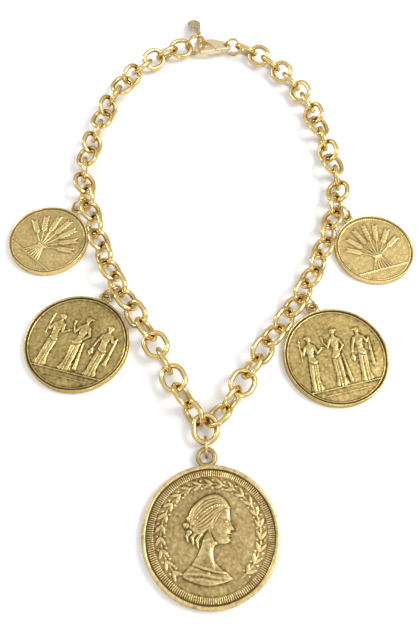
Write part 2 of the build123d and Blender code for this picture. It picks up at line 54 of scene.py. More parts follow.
camera_tilt = radians(26.99)
camera_roll = radians(1.78)
camera_data = bpy.data.cameras.new("camera")
camera_data.lens = 36.08
camera_data.sensor_width = 36.0
camera_data.clip_start = 0.005
camera = bpy.data.objects.new("camera", camera_data)
bpy.context.collection.objects.link(camera)
camera.matrix_world = (
    Matrix.Translation(coin_middle + camera_offset)
    @ Matrix.Rotation(camera_tilt, 4, "X")
    @ Matrix.Rotation(camera_roll, 4, "Z")
)
bpy.context.scene.camera = camera

# A white table under a soft light from the right, with weaker ones at the left and in
# front, in a pale room that is bright overhead and dimmer towards its walls.
table_level = -0.00002
bpy.ops.mesh.primitive_plane_add(size=6.0, location=(0, 0, table_level))
floor = bpy.context.object
floor.name = "floor"
table_top = bpy.data.materials.new("white_table")
table_top.use_nodes = True
table_shader = table_top.node_tree.nodes["Principled BSDF"].inputs
table_shader["Base Color"].default_value = (0.88, 0.88, 0.885, 1)
table_shader["Roughness"].default_value = 0.9
table_shader["Specular IOR Level"].default_value = 0.1
floor.data.materials.append(table_top)
room = bpy.data.worlds.new("room")
bpy.context.scene.world = room
room.use_nodes = True
background = room.node_tree.nodes["Background"]
direction = room.node_tree.nodes.new("ShaderNodeTexCoord")
height = room.node_tree.nodes.new("ShaderNodeSeparateXYZ")
brightness = room.node_tree.nodes.new("ShaderNodeMapRange")
brightness.inputs["From Max"].default_value = 1.0
brightness.inputs["To Min"].default_value = 0.32
brightness.inputs["To Max"].default_value = 1.06
room.node_tree.links.new(direction.outputs["Generated"], height.inputs["Vector"])
room.node_tree.links.new(height.outputs["Z"], brightness.inputs["Value"])
room.node_tree.links.new(brightness.outputs["Result"], background.inputs["Strength"])
background.inputs["Color"].default_value = (0.98, 0.985, 1.0, 1)
for name, place, size, watts, colour in (
    ("key_light", (0.52, 0.03, 0.60), 0.36, 4.4, (1.0, 0.975, 0.94)),
    ("left_light", (-0.66, 0.25, 0.34), 0.22, 1.2, (0.97, 0.98, 1.0)),
    ("front_light", (0.20, -0.75, 0.50), 0.20, 0.9, (1.0, 0.98, 0.95)),
):
    light_data = bpy.data.lights.new(name, "AREA")
    light_data.size = size
    light_data.energy = watts
    light_data.color = colour
    light = bpy.data.objects.new(name, light_data)
    bpy.context.collection.objects.link(light)
    light.location = place
    light.rotation_euler = Vector(place).to_track_quat("Z", "Y").to_euler()
bpy.context.scene.view_settings.view_transform = "Standard"

# The chain. Plain oval links of round brass wire, bent round each other, soldered shut
# and polished after a heavy yellow gold plating; two strands and one link between them.
link_wire = 0.00185
link_bend = 0.003875
link_straight = 0.000775
neighbour_reach = 0.011
# Painted shade: each link is darkened near its neighbours' wire, within this reach, and on the inner side of
# its bend by this share.
painted_shade_reach = 0.0009
painted_inner_shade = 0.42


class Socket:
    """An output of a node in a material. Sums and products of it add Math nodes."""

    def __init__(self, tree, output=None):
        self.tree = tree
        self.output = output

    def node(self, kind, settings, inputs, output=0):
        """Adds a node, sets its settings and then its sockets, and gives an output of it."""
        new = self.tree.nodes.new("ShaderNode" + kind)
        for name, value in settings.items():
            if name == "stops":
                new.color_ramp.elements[0].position = value[0][0]
                new.color_ramp.elements[1].position = value[-1][0]
                for stop, colour in value[1:-1]:
                    new.color_ramp.elements.new(stop)
                for element, (stop, colour) in zip(new.color_ramp.elements, value):
                    element.color = (*colour, 1)
            else:
                setattr(new, name, value)
        for name, value in inputs.items():
            if isinstance(value, Socket):
                self.tree.links.new(value.output, new.inputs[name])
            else:
                new.inputs[name].default_value = value
        return Socket(self.tree, new.outputs[output])

    def math(self, operation, first, second):
        return self.node("Math", {"operation": operation}, {0: first, 1: second})

    def __add__(self, other):
        return self.math("ADD", self, other)

    def __sub__(self, other):
        return self.math("SUBTRACT", self, other)

    def __rsub__(self, other):
        return self.math("SUBTRACT", other, self)

    def __mul__(self, other):
        return self.math("MULTIPLY", self, other)

    __radd__ = __add__
    __rmul__ = __mul__

    def clamped(self):
        return self.node("Clamp", {}, {"Value": self})

    def between(self, low, high):
        """Mix of two colours, by this value. The low one may be a socket."""
        mixed = {0: self, 6: low if isinstance(low, Socket) else (*low, 1), 7: (*high, 1)}
        return self.node("Mix", {"data_type": "RGBA"}, mixed, 2)


def metal(name):
    """A new material, a Socket of its nodes to start from, and its shader's sockets."""
    material = bpy.data.materials.new(name)
    material.use_nodes = True
    tree = material.node_tree
    return material, Socket(tree), tree.nodes["Principled BSDF"].inputs


def feed(start, inputs, values):
    """Links or sets sockets of a shader by their names."""
    for name, value in values.items():
        if isinstance(value, Socket):
            start.tree.links.new(value.output, inputs[name])
        else:
            inputs[name].default_value = value


def noise(start, size, detail=3.0, roughness=0.55):
    """Soft random pattern from 0 to 1 on the piece, of a size in metres."""
    place = start.node("TexCoord", {}, {}, "Object")
    settings = {"Vector": place, "Scale": 1 / size, "Detail": detail, "Roughness": roughness}
    return start.node("TexNoise", {}, settings, 0)


def bump(start, height, depth, strength):
    """Fine dents of a depth in metres, for the Normal of a shader."""
    return start.node("Bump", {}, {"Height": height, "Distance": depth, "Strength": strength})


def set_stain_and_painted_light(mesh, values):
    """Writes how dark each point is painted, stain and painted light together: 1 is black, 0 or less is
    bright.
    """
    stain = mesh.attributes.new("stain", "FLOAT", "POINT")
    stain.data.foreach_set("value", np.asarray(values, np.float32))


polished_gold, start, shader = metal("polished_gold")
tone = noise(start, 0.004)
scuffs = noise(start, 0.0007, 5.0, 0.7)
# The darkening read here is painted shade on the links, where they meet and inside each bend, plus an even
# slight tone on the rings.
stain = start.node("Attribute", {"attribute_name": "stain"}, {}, "Fac")
stain = (stain * 1.1 + (scuffs - 0.5) * 0.25).clamped()
clean_gold = tone.between((0.74, 0.535, 0.20), (0.86, 0.665, 0.305))
feed(start, shader, {
    "Base Color": stain.between(clean_gold, (0.14, 0.085, 0.028)),
    "Metallic": 1.0,
    "Roughness": 0.11 + scuffs * 0.14 + stain * 0.15,
    "Normal": bump(start, scuffs, 0.00002, 0.35),
    "Specular Tint": (0.36, 0.26, 0.08, 1),
})


def solid_poses(node):
    """Middle and turn of each loose solid of a CAD node, its longest way along X."""
    mesh = bmesh.new()
    mesh.from_mesh(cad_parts[node].data)
    bmesh.ops.remove_doubles(mesh, verts=mesh.verts, dist=1e-7)
    poses = []
    unseen = set(mesh.faces)
    while unseen:
        group = [next(iter(unseen))]
        unseen.discard(group[0])
        for face in group:
            for edge in face.edges:
                for other in edge.link_faces:
                    if other in unseen:
                        unseen.discard(other)
                        group.append(other)
        areas = np.array([face.calc_area() for face in group])
        middles = np.array([face.calc_center_median() for face in group])
        middle = areas @ middles / areas.sum()
        spread = (middles - middle).T @ ((middles - middle) * areas[:, None])
        axes = np.linalg.eigh(spread)[1][:, ::-1]
        poses.append((Vector(middle), axes))
    mesh.free()
    return sorted(poses, key=lambda pose: tuple(pose[0]))


def placed(middle, way, face_way):
    """Matrix that puts X along way and Z along face_way at a place."""
    across = face_way.cross(way)
    return Matrix.Translation(middle) @ Matrix((way, across, face_way)).transposed().to_4x4()


def copy_of(master, name, matrix):
    """A copy of a piece, with a mesh of its own that the matrix moves."""
    piece = bpy.data.objects.new(name, master.data.copy())
    bpy.context.collection.objects.link(piece)
    piece.data.transform(matrix)
    return piece


def pick(*pieces):
    """Selects these pieces alone and makes the first one active."""
    bpy.ops.object.select_all(action="DESELECT")
    for piece in pieces:
        piece.select_set(True)
    bpy.context.view_layer.objects.active = pieces[0]


def join(pieces, name):
    """Joins meshes into one piece."""
    pick(*pieces)
    bpy.ops.object.join()
    pieces[0].name = name
    return pieces[0]


def dress(piece, material, slot, body, *nodes):
    """Gives a finished piece its material and its body and hides the nodes it stands for; its slot is not
    used.
    """
    piece.data.materials.clear()
    piece.data.materials.append(material)
    pick(piece)
    bpy.ops.object.shade_smooth()
    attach(piece, body)
    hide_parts(*nodes)


bpy.ops.mesh.primitive_torus_add(
    major_segments=64, minor_segments=18, major_radius=link_bend, minor_radius=link_wire / 2
)
link = bpy.context.object
bpy.ops.object.mode_set(mode="EDIT")
for way in (1, -1):
    bpy.ops.mesh.select_all(action="DESELECT")
    half = bmesh.from_edit_mesh(link.data)
    for vertex in half.verts:
        vertex.select_set(vertex.co.x * way > 1e-6)
    half.select_flush(True)
    bpy.ops.transform.translate(value=(way * link_straight, 0, 0))
bpy.ops.object.mode_set(mode="OBJECT")
link_poses = {
    node: [placed(middle, Vector(axes[:, 0]), Vector(axes[:, 2])) for middle, axes in solid_poses(node)]
    for node in ("chain_left", "chain_right", "centre_link")
}
own = np.array([vertex.co for vertex in link.data.vertices])
hollow_side = np.hypot(own[:, 0], own[:, 1]) - link_bend + link_wire / 2
inner = 1 - np.clip(hollow_side / (0.6 * link_wire), 0, 1)
around = np.linspace(0, 2 * pi, 64, endpoint=False)
wire_line = np.stack([np.cos(around), np.sin(around), 0 * around], axis=1) * link_bend
wire_line[:, 0] += np.sign(np.round(wire_line[:, 0], 6)) * link_straight
every_pose = np.array([np.array(pose) for poses in link_poses.values() for pose in poses])
every_line = np.einsum("lij,pj->lpi", every_pose[:, :3, :3], wire_line) + every_pose[:, None, :3, 3]
for node, poses in link_poses.items():
    links = []
    for pose in poses:
        piece = copy_of(link, "link", pose)
        points = own @ np.array(pose)[:3, :3].T + np.array(pose.translation)
        apart = np.linalg.norm(every_pose[:, :3, 3] - np.array(pose.translation), axis=1)
        near = every_line[(apart > 1e-5) & (apart < neighbour_reach)].reshape(1, -1, 3)
        gap = np.sqrt(((points[:, None] - near) ** 2).sum(axis=2).min(axis=1)) - link_wire / 2
        # Painted shade where the links nearly touch and on the inner side of each link.
        set_stain_and_painted_light(piece.data, np.clip(1.0 - gap / painted_shade_reach, 0, 1) + painted_inner_shade * inner)
        links.append(piece)
    dress(join(links, node + "_links"), polished_gold, "chain_gold", "necklace", node)
bpy.data.objects.remove(link)

# The rings. Round wire, wound and cut, and pressed shut; the cut shows as a fine
# nick. One holds each coin, one ends the left strand and one holds the clasp.
nick_share = 0.86
ring_tarnish = 0.12
for node, outer, wire in (
    ("ring_centre", 0.0078, 0.0009),
    ("ring_lower_left", 0.0078, 0.0009),
    ("ring_lower_right", 0.0078, 0.0009),
    ("ring_upper_left", 0.0078, 0.0009),
    ("ring_upper_right", 0.0078, 0.0009),
    ("end_ring", 0.0100, 0.00135),
    ("clasp_ring", 0.0080, 0.0010),
):
    bpy.ops.mesh.primitive_torus_add(
        major_segments=96, minor_segments=20, major_radius=(outer - wire) / 2, minor_radius=wire / 2
    )
    ring = bpy.context.object
    ring.name = node + "_wire"
    bpy.ops.object.mode_set(mode="EDIT")
    bpy.ops.mesh.select_all(action="DESELECT")
    nick = bmesh.from_edit_mesh(ring.data)
    for vertex in nick.verts:
        vertex.select_set(vertex.co.x > 0 and abs(vertex.co.y) < 1e-6)
    nick.select_flush(True)
    bpy.ops.transform.resize(value=(1, 1, nick_share), center_override=((outer - wire) / 2, 0, 0))
    bpy.ops.object.mode_set(mode="OBJECT")
    middle, axes = solid_poses(node)[0]
    face_way = Vector(axes[:, 2])
    rise = (Vector((0, 0, 1)) - face_way * face_way.z).normalized()
    set_stain_and_painted_light(ring.data, [ring_tarnish] * len(ring.data.vertices))
    ring.data.transform(placed(middle, rise, face_way))
    dress(ring, polished_gold, "chain_gold", "necklace", node)

# The large coin. A zinc alloy casting with a rounded worn rim, a ring of teeth, a border of
# paired leaves, a bust in low relief and the eye that it hangs by; brass plated,
# blackened, and rubbed back on its high places.
field_depth = 0.7
edge_round = 0.3
brightest = -0.62
# The side wall and underside take the palest colour: a painted reflection of the white table.
side_painted_reflection = -0.9
eye_stain = -0.2
centre_radius = 22.0
centre_thickness = 2.8
centre_rim = 1.4
tooth_count = 180
leaf_pairs = 21
border_start = 270 + 39
border_turn = 282
border_place = 0.72
leaf_turn = radians(28)
leaf = [(0.0, 0.007), (0.04, 0.023), (0.08, 0.027), (0.115, 0.017), (0.14, 0.004)]
face_line = [
    (0.24, 0.40), (0.27, 0.33), (0.28, 0.21), (0.27, 0.18), (0.34, 0.08), (0.285, 0.05), (0.30, 0.02),
    (0.28, 0.008), (0.292, -0.012), (0.268, -0.035), (0.285, -0.07), (0.25, -0.11), (0.10, -0.13),
]
neck_line = [
    (0.05, -0.2), (0.06, -0.34), (0.15, -0.44), (0.27, -0.52), (0.30, -0.60), (0.0, -0.68), (-0.28, -0.63),
    (-0.38, -0.55), (-0.25, -0.40), (-0.15, -0.22), (-0.1, -0.05), (0.0, 0.2),
]
hair_line = [
    (0.27, 0.38), (0.2, 0.50), (0.08, 0.57), (-0.08, 0.54), (-0.22, 0.44), (-0.31, 0.32), (-0.33, 0.18),
    (-0.28, 0.04), (-0.16, -0.02), (-0.06, 0.04), (0.04, 0.12), (0.08, 0.26), (0.18, 0.34),
]


class Relief:
    """Heights in millimetres over the field of a coin, on a square sheet of points whose
    places are given in shares of the radius. What is laid on top of the first shapes and
    what is cut into them are kept apart until they settle."""

    def __init__(self, radius, seed):
        self.radius = radius
        self.line = np.linspace(-radius - 0.5, radius + 0.5, int(27 * radius))
        self.x, self.y = np.meshgrid(self.line, self.line)
        self.shape, self.over, self.cut = np.zeros((3,) + self.x.shape)
        self.random = np.random.default_rng(seed)

    def window(self, points, margin):
        """The part of the sheet round some points."""
        low = np.searchsorted(self.line, points.min(axis=0) - margin)
        high = np.searchsorted(self.line, points.max(axis=0) + margin)
        return slice(low[1], high[1]), slice(low[0], high[0])

    def rib(self, sheet, rise, *rows):
        """A rounded rib through rows of x, y and half width, or a dot from one row."""
        rows = np.array(rows, float) * self.radius
        if len(rows) == 1:
            rows = np.repeat(rows, 2, axis=0)
        for start, end in zip(rows[:-1], rows[1:]):
            part = self.window(np.array([start[:2], end[:2]]), max(start[2], end[2]))
            along = end[:2] - start[:2]
            x, y = self.x[part] - start[0], self.y[part] - start[1]
            share = np.clip((x * along[0] + y * along[1]) / (along @ along + 1e-9), 0, 1)
            gap = np.hypot(x - share * along[0], y - share * along[1])
            width = start[2] + share * (end[2] - start[2])
            height = rise * np.sqrt(np.clip(1 - (gap / width) ** 2, 0, 1))
            sheet[part] = np.maximum(sheet[part], height)

    def area(self, sheet, rise, shoulder, outline):
        """A raised area inside a smooth closed outline, with a rounded shoulder."""
        points = np.array(outline, float) * self.radius
        before, after, beyond = (np.roll(points, step, axis=0) for step in (1, -1, -2))
        smooth = []
        for t in np.linspace(0, 1, 6, endpoint=False):
            smooth.append(
                0.5 * (2 * points + (after - before) * t
                       + (2 * before - 5 * points + 4 * after - beyond) * t ** 2
                       + (3 * points - before - 3 * after + beyond) * t ** 3)
            )
        points = np.stack(smooth, axis=1).reshape(-1, 2)
        part = self.window(points, 0.1)
        x, y = self.x[part], self.y[part]
        inside = np.zeros(x.shape, bool)
        nearest = np.full(x.shape, 1e9)
        for start, end in zip(points, np.roll(points, -1, axis=0)):
            along = end - start
            right, up = x - start[0], y - start[1]
            share = np.clip((right * along[0] + up * along[1]) / (along @ along), 0, 1)
            gap = np.hypot(right - share * along[0], up - share * along[1])
            nearest = np.minimum(nearest, gap)
            crosses = (start[1] > y) != (end[1] > y)
            level = (y - start[1]) / (along[1] if along[1] else 1e-9)
            inside ^= crosses & (x < start[0] + level * along[0])
        rounded = 1 - (1 - np.clip(nearest / shoulder, 0, 1)) ** 2
        sheet[part] = np.maximum(sheet[part], np.where(inside, rise * np.sqrt(rounded), 0))

    def blurred(self, sheet, size):
        """The sheet smoothed over some millimetres."""
        step = self.line[1] - self.line[0]
        down = np.fft.fftfreq(sheet.shape[0], step)[:, None]
        across = np.fft.rfftfreq(sheet.shape[1], step)[None, :]
        filtered = np.fft.rfft2(sheet) * np.exp(-2 * (pi * size) ** 2 * (down ** 2 + across ** 2))
        return np.fft.irfft2(filtered, sheet.shape)

    def grain(self, size, depth):
        """A new random roughness of a size, as deep as this on the average."""
        rough = self.blurred(self.random.normal(size=self.x.shape), size)
        return rough * depth / rough.std()

    def settle(self, rim, wear, pitting):
        """Adds the rim, softens all by casting and wear, and roughens it."""
        out = np.hypot(self.x, self.y)
        wander = self.grain(2.5, 0.05)
        slope_width = 0.32
        rise = np.clip((out - (self.radius - rim) - wander) / slope_width + 0.5, 0, 1)
        half_crown = 0.45 * rim
        crown = np.clip((out - self.radius + half_crown) / half_crown, -0.5, 1.2)
        rim_height = (field_depth - 0.15 * rim * crown ** 2) * rise * rise * (3 - 2 * rise)
        self.shape = np.maximum(self.shape + self.over - self.cut, rim_height)
        self.shape = self.blurred(self.shape, wear) + self.grain(0.30, pitting)
        self.shape += self.grain(1.6, 0.5 * pitting)
        fine_hollows = (self.blurred(self.shape, 0.45) - self.shape) / 0.09
        wide_hollows = (self.blurred(self.shape, 1.3) - self.shape) / 0.8
        low_places = np.maximum(fine_hollows + wide_hollows, brightest)
        self.stain = low_places + self.grain(2.2, 0.09) + self.grain(0.28, 0.18)

    def at(self, sheet, x, y):
        """Values of a sheet at points, in between its own."""
        step = self.line[1] - self.line[0]
        across = np.clip((x - self.line[0]) / step, 0, len(self.line) - 1.001)
        up = np.clip((y - self.line[0]) / step, 0, len(self.line) - 1.001)
        i, j = across.astype(int), up.astype(int)
        s, t = across - i, up - j
        low = sheet[j, i] * (1 - s) + sheet[j, i + 1] * s
        high = sheet[j + 1, i] * (1 - s) + sheet[j + 1, i + 1] * s
        return low * (1 - t) + high * t


def coin_finish(name, bright, middle, dark, level, strength):
    """Antique brass: dark in the hollows, rubbed bright on top, and palest on the side walls, where that pale
    polished colour is a painted reflection of the white table.
    """
    finish, start, shader = metal(name)
    stain = start.node("Attribute", {"attribute_name": "stain"}, {}, "Fac")
    specks = noise(start, 0.00055, 6.0, 0.75)
    clouds = noise(start, 0.005, 4.0, 0.6)
    mask = (stain * strength + level + (specks - 0.5) * 0.6 + (clouds - 0.5) * 0.3).clamped()
    half_dark = tuple(0.5 * (m + d) for m, d in zip(middle, dark))
    # The first stop, a pale polished brass, is painted reflection on the side walls, and real rubbed brass in
    # a few specks on top.
    stops = [(0.0, (0.80, 0.62, 0.28)), (0.2, bright), (0.43, middle), (0.72, half_dark), (1.0, dark)]
    colour = start.node("ValToRGB", {"stops": stops}, {"Fac": mask}, "Color")
    feed(start, shader, {
        "Base Color": colour,
        "Metallic": 1 - mask * 0.45,
        "Roughness": (0.27 + mask * 0.28 + (specks - 0.5) * 0.12).clamped(),
        "Normal": bump(start, specks, 0.00006, 0.5),
        "Specular Tint": (0.5, 0.4, 0.18, 1),
    })
    return finish


def coin(node, relief, thickness, sectors, rings, eye_hole, eye_wire, hang, turn, finish):
    """Turns a coin's blank, raises its relief, adds its eye and lays it in its place."""
    radius = relief.radius
    flat_radius = radius - edge_round
    profile = [(r, thickness) for r in np.linspace(0, flat_radius, rings)]
    for share in (0.25, 0.5, 0.75, 1.0):
        lean = share * pi / 2
        profile.append((radius - edge_round * (1 - sin(lean)), thickness - edge_round * (1 - cos(lean))))
    profile += [(radius, thickness * 0.6), (radius, thickness * 0.35), (radius, edge_round)]
    profile += [(radius - edge_round * 0.3, edge_round * 0.3), (flat_radius, 0)]
    profile += [(radius * share, 0) for share in (0.9, 0.5, 0.0)]
    mesh = bpy.data.meshes.new(node)
    edges = [(i, i + 1) for i in range(len(profile) - 1)]
    mesh.from_pydata([(r, 0, z) for r, z in profile], edges, [])
    piece = bpy.data.objects.new(node + "_cast", mesh)
    bpy.context.collection.objects.link(piece)
    pick(piece)
    lathe = piece.modifiers.new("lathe", "SCREW")
    lathe.steps = lathe.render_steps = sectors
    lathe.use_merge_vertices = True
    lathe.merge_threshold = 1e-4
    bpy.ops.object.modifier_apply(modifier=lathe.name)
    bpy.ops.object.mode_set(mode="EDIT")
    bpy.ops.mesh.select_all(action="SELECT")
    bpy.ops.mesh.remove_doubles(threshold=1e-4)
    bpy.ops.mesh.normals_make_consistent(inside=False)
    bpy.ops.object.mode_set(mode="OBJECT")
    places = np.empty(len(mesh.vertices) * 3)
    mesh.vertices.foreach_get("co", places)
    places = places.reshape(-1, 3)
    out = np.hypot(places[:, 0], places[:, 1])
    around = np.arctan2(places[:, 1], places[:, 0])
    shrink = np.minimum(1, flat_radius / np.maximum(out, 1e-6))
    x, y = places[:, 0] * shrink, places[:, 1] * shrink
    top = places[:, 2] > thickness - edge_round * 1.05
    places[:, 2] += np.where(top, np.minimum(relief.at(relief.shape, x, y) - field_depth, 0), 0)
    # Side wall and underside: painted reflection of the white table.
    stain = np.where(top, relief.at(relief.stain, x, y), side_painted_reflection)
    wave = sum(
        np.sin(around * count + relief.random.uniform(0, 6.3)) / count ** 0.5
        for count in (3, 5, 8, 13, 21)
    )
    edge = np.clip(out / radius - 0.8, 0, 0.2) / 0.2
    places[:, :2] *= (1 - edge * (wave - wave.min()) * 0.045 / radius)[:, None]
    mesh.vertices.foreach_set("co", places.ravel())
    set_stain_and_painted_light(mesh, stain)
    way = radians(90 - hang + turn)
    reach = radius + (eye_hole + eye_wire) / 2 - 0.15 * eye_wire
    eye_height = thickness - eye_wire / 2
    bpy.ops.mesh.primitive_torus_add(
        major_segments=64, minor_segments=20, major_radius=(eye_hole + eye_wire) / 2,
        minor_radius=eye_wire / 2, location=(reach * cos(way), reach * sin(way), eye_height),
    )
    eye = bpy.context.object
    bpy.ops.mesh.primitive_uv_sphere_add(
        segments=32, ring_count=16, radius=eye_wire * 0.62,
        location=((radius + 0.1) * cos(way), (radius + 0.1) * sin(way), eye_height - 0.05),
    )
    foot = bpy.context.object
    foot.scale = (0.75, 1.7, 0.8)
    foot.rotation_euler.z = way
    for added in (eye, foot):
        pick(added)
        bpy.ops.object.transform_apply(location=True, rotation=True, scale=True)
        set_stain_and_painted_light(added.data, [eye_stain] * len(added.data.vertices))
    piece = join([piece, eye, foot], node + "_cast")
    # The solid's box ends at the coin's rim below, and on the side away from its eye.
    low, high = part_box(node)
    rim_reach = radius / 1000
    middle_x = low.x + rim_reach if hang > 0 else high.x - rim_reach
    middle = Vector((middle_x, low.y + rim_reach, 0))
    piece.data.transform(
        Matrix.Translation(middle) @ Matrix.Rotation(radians(-turn), 4, "Z") @ Matrix.Scale(0.001, 4)
    )
    dress(piece, finish, "upper_coin_brass" if "upper" in node else "coin_brass", "necklace", node)


large = Relief(centre_radius, 3)
for count in range(tooth_count):
    angle = 2 * pi * count / tooth_count
    tooth = [(share * cos(angle), share * sin(angle), 0.0105) for share in (0.837, 0.915)]
    large.rib(large.shape, 0.34, *tooth)
for count in range(leaf_pairs):
    angle = radians(border_start + border_turn * (count + 0.5) / leaf_pairs)
    foot = np.array([cos(angle), sin(angle)]) * border_place
    for way in (-1, 1):
        lean = angle + pi / 2 + leaf_turn * way
        leaf_way = np.array([cos(lean), sin(lean)])
        large.rib(large.shape, 0.30, *[(*(foot + leaf_way * along), half) for along, half in leaf])
        large.rib(large.cut, 0.10, *[(*(foot + leaf_way * along), 0.005) for along in (0.02, 0.11)])
        large.rib(large.shape, 0.28, (*(foot * (1 + way * 0.055 / border_place)), 0.017))
stem_steps = 60
stem = [radians(border_start + border_turn * step / stem_steps) for step in range(stem_steps + 1)]
stem = [(border_place * cos(angle), border_place * sin(angle), 0.008) for angle in stem]
large.rib(large.shape, 0.20, *stem)
large.area(large.shape, 0.34, 1.1, face_line + neck_line)
large.area(large.shape, 0.46, 1.5, face_line + [(0.02, -0.06), (-0.08, 0.1), (0.0, 0.36)])
large.area(large.shape, 0.56, 1.0, hair_line)
crown = np.array([
    (0.235, 0.405), (0.16, 0.485), (0.06, 0.53), (-0.06, 0.51), (-0.17, 0.44), (-0.25, 0.33), (-0.275, 0.2),
])
temple = np.array([
    (0.205, 0.355), (0.13, 0.32), (0.075, 0.24), (0.03, 0.145), (-0.04, 0.075), (-0.12, 0.045), (-0.2, 0.06),
])
lock_count = 9
for lock in range(lock_count):
    for sheet, step, half in ((large.over, 0.0, 0.015), (large.cut, 0.5, 0.006)):
        strand = crown + (temple - crown) * min((lock + step) / (lock_count - 1), 1)
        large.rib(sheet, 0.10, *[(x, y, half) for x, y in strand])
band = np.array([(0.262, 0.375), (0.17, 0.415), (0.06, 0.405), (-0.06, 0.345), (-0.17, 0.255), (-0.27, 0.14)])
large.rib(large.over, 0.08, *[(x, y, 0.026) for x, y in band])
for bead in np.linspace(0, 4.95, 17):
    place = band[int(bead)] + (band[int(bead) + 1] - band[int(bead)]) * (bead % 1)
    large.rib(large.over, 0.2, (*place, 0.016))
# The curls at the nape, then the brow, eye, nose, lips, chin and ear, then the draped cloth.
for sheet, rise, rows in (
    (large.shape, 0.55, [(-0.30, 0.20, 0.06)]),
    (large.shape, 0.55, [(-0.355, 0.115, 0.05)]),
    (large.shape, 0.55, [(-0.27, 0.10, 0.055)]),
    (large.shape, 0.50, [(-0.31, 0.02, 0.045)]),
    (large.shape, 0.45, [(-0.20, 0.03, 0.032), (-0.265, -0.05, 0.028), (-0.245, -0.14, 0.016)]),
    (large.shape, 0.45, [(-0.14, 0.0, 0.032), (-0.195, -0.09, 0.027), (-0.175, -0.19, 0.014)]),
    (large.shape, 0.42, [(-0.30, 0.02, 0.03), (-0.345, -0.04, 0.024), (-0.325, -0.11, 0.013)]),
    (large.cut, 0.16, [(-0.30, 0.20, 0.018)]),
    (large.cut, 0.16, [(-0.355, 0.115, 0.016)]),
    (large.cut, 0.16, [(-0.27, 0.10, 0.018)]),
    (large.cut, 0.14, [(-0.31, 0.02, 0.014)]),
    (large.over, 0.07, [(0.165, 0.236, 0.012), (0.21, 0.248, 0.018), (0.262, 0.228, 0.012)]),
    (large.cut, 0.09, [(0.195, 0.192, 0.026), (0.242, 0.186, 0.02)]),
    (large.over, 0.14, [(0.206, 0.188, 0.015), (0.232, 0.186, 0.013)]),
    (large.cut, 0.10, [(0.175, 0.192, 0.006), (0.21, 0.208, 0.008), (0.255, 0.194, 0.006)]),
    (large.over, 0.10, [(0.265, 0.205, 0.012), (0.30, 0.12, 0.018), (0.318, 0.086, 0.021)]),
    (large.cut, 0.12, [(0.284, 0.071, 0.008), (0.30, 0.068, 0.008)]),
    (large.over, 0.08, [(0.245, 0.021, 0.008), (0.275, 0.027, 0.013), (0.292, 0.023, 0.009)]),
    (large.over, 0.08, [(0.25, -0.007, 0.008), (0.272, -0.013, 0.014), (0.283, -0.015, 0.01)]),
    (large.cut, 0.12, [(0.235, 0.008, 0.006), (0.29, 0.006, 0.007)]),
    (large.over, 0.08, [(0.245, -0.07, 0.036), (0.26, -0.066, 0.028)]),
    (large.over, 0.10, [(0.13, 0.09, 0.09), (0.17, 0.06, 0.08)]),
    (large.cut, 0.14, [
        (0.0, 0.03, 0.016), (0.06, -0.08, 0.022), (0.15, -0.135, 0.02), (0.24, -0.14, 0.01),
    ]),
    (large.over, 0.12, [
        (0.045, 0.165, 0.011), (0.01, 0.172, 0.014), (-0.008, 0.13, 0.014), (0.016, 0.092, 0.012),
    ]),
    (large.over, 0.08, [(-0.04, -0.08, 0.035), (0.0, -0.30, 0.03), (0.06, -0.46, 0.02)]),
    (large.over, 0.17, [
        (-0.24, -0.40, 0.017), (-0.08, -0.455, 0.02), (0.08, -0.49, 0.018), (0.21, -0.50, 0.012),
    ]),
    (large.cut, 0.12, [
        (-0.25, -0.43, 0.008), (-0.08, -0.485, 0.01), (0.08, -0.52, 0.01), (0.23, -0.525, 0.008),
    ]),
    (large.over, 0.15, [
        (-0.35, -0.535, 0.018), (-0.15, -0.53, 0.024), (0.10, -0.57, 0.02), (0.28, -0.575, 0.014),
    ]),
    (large.over, 0.13, [
        (-0.30, -0.60, 0.016), (-0.1, -0.60, 0.022), (0.12, -0.635, 0.018), (0.26, -0.605, 0.012),
    ]),
    (large.over, 0.22, [(-0.02, -0.515, 0.03)]),
):
    large.rib(sheet, rise, *rows)
large.settle(centre_rim, 0.07, 0.013)
centre_finish = coin_finish(
    "antique_brass", bright=(0.68, 0.52, 0.24), middle=(0.42, 0.31, 0.13), dark=(0.10, 0.068, 0.026),
    level=0.49, strength=0.42,
)
coin(
    "coin_centre", large, centre_thickness, sectors=720, rings=116, eye_hole=4.0, eye_wire=1.6,
    hang=-5.0, turn=0.0, finish=centre_finish,
)

# The middle pair of coins. Cast and plated like the large one but darker, with a thin
# bright rim, a deep black groove inside it and three draped figures on a ground line.
lower_radius = 19.0
lower_thickness = 2.6
lower_rim = 0.65
line_place = lower_radius - lower_rim - 0.45 - 0.2
groove_gap = 0.40
ground_level = -0.62
figure_lean = 0.12
figures = ((-0.48, 1, 1.0), (0.02, -1, 1.05), (0.50, 1, 0.98))
robe_outline = [
    (0.03, 0.37), (0.09, 0.315), (0.085, 0.22), (0.058, 0.10), (0.105, -0.03), (0.10, -0.20),
    (0.088, -0.40), (0.13, -0.56), (0.09, -0.60), (0.0, -0.61), (-0.08, -0.60), (-0.115, -0.56),
    (-0.085, -0.40), (-0.08, -0.20), (-0.07, -0.03), (-0.062, 0.10), (-0.09, 0.22), (-0.095, 0.30),
    (-0.03, 0.37),
]
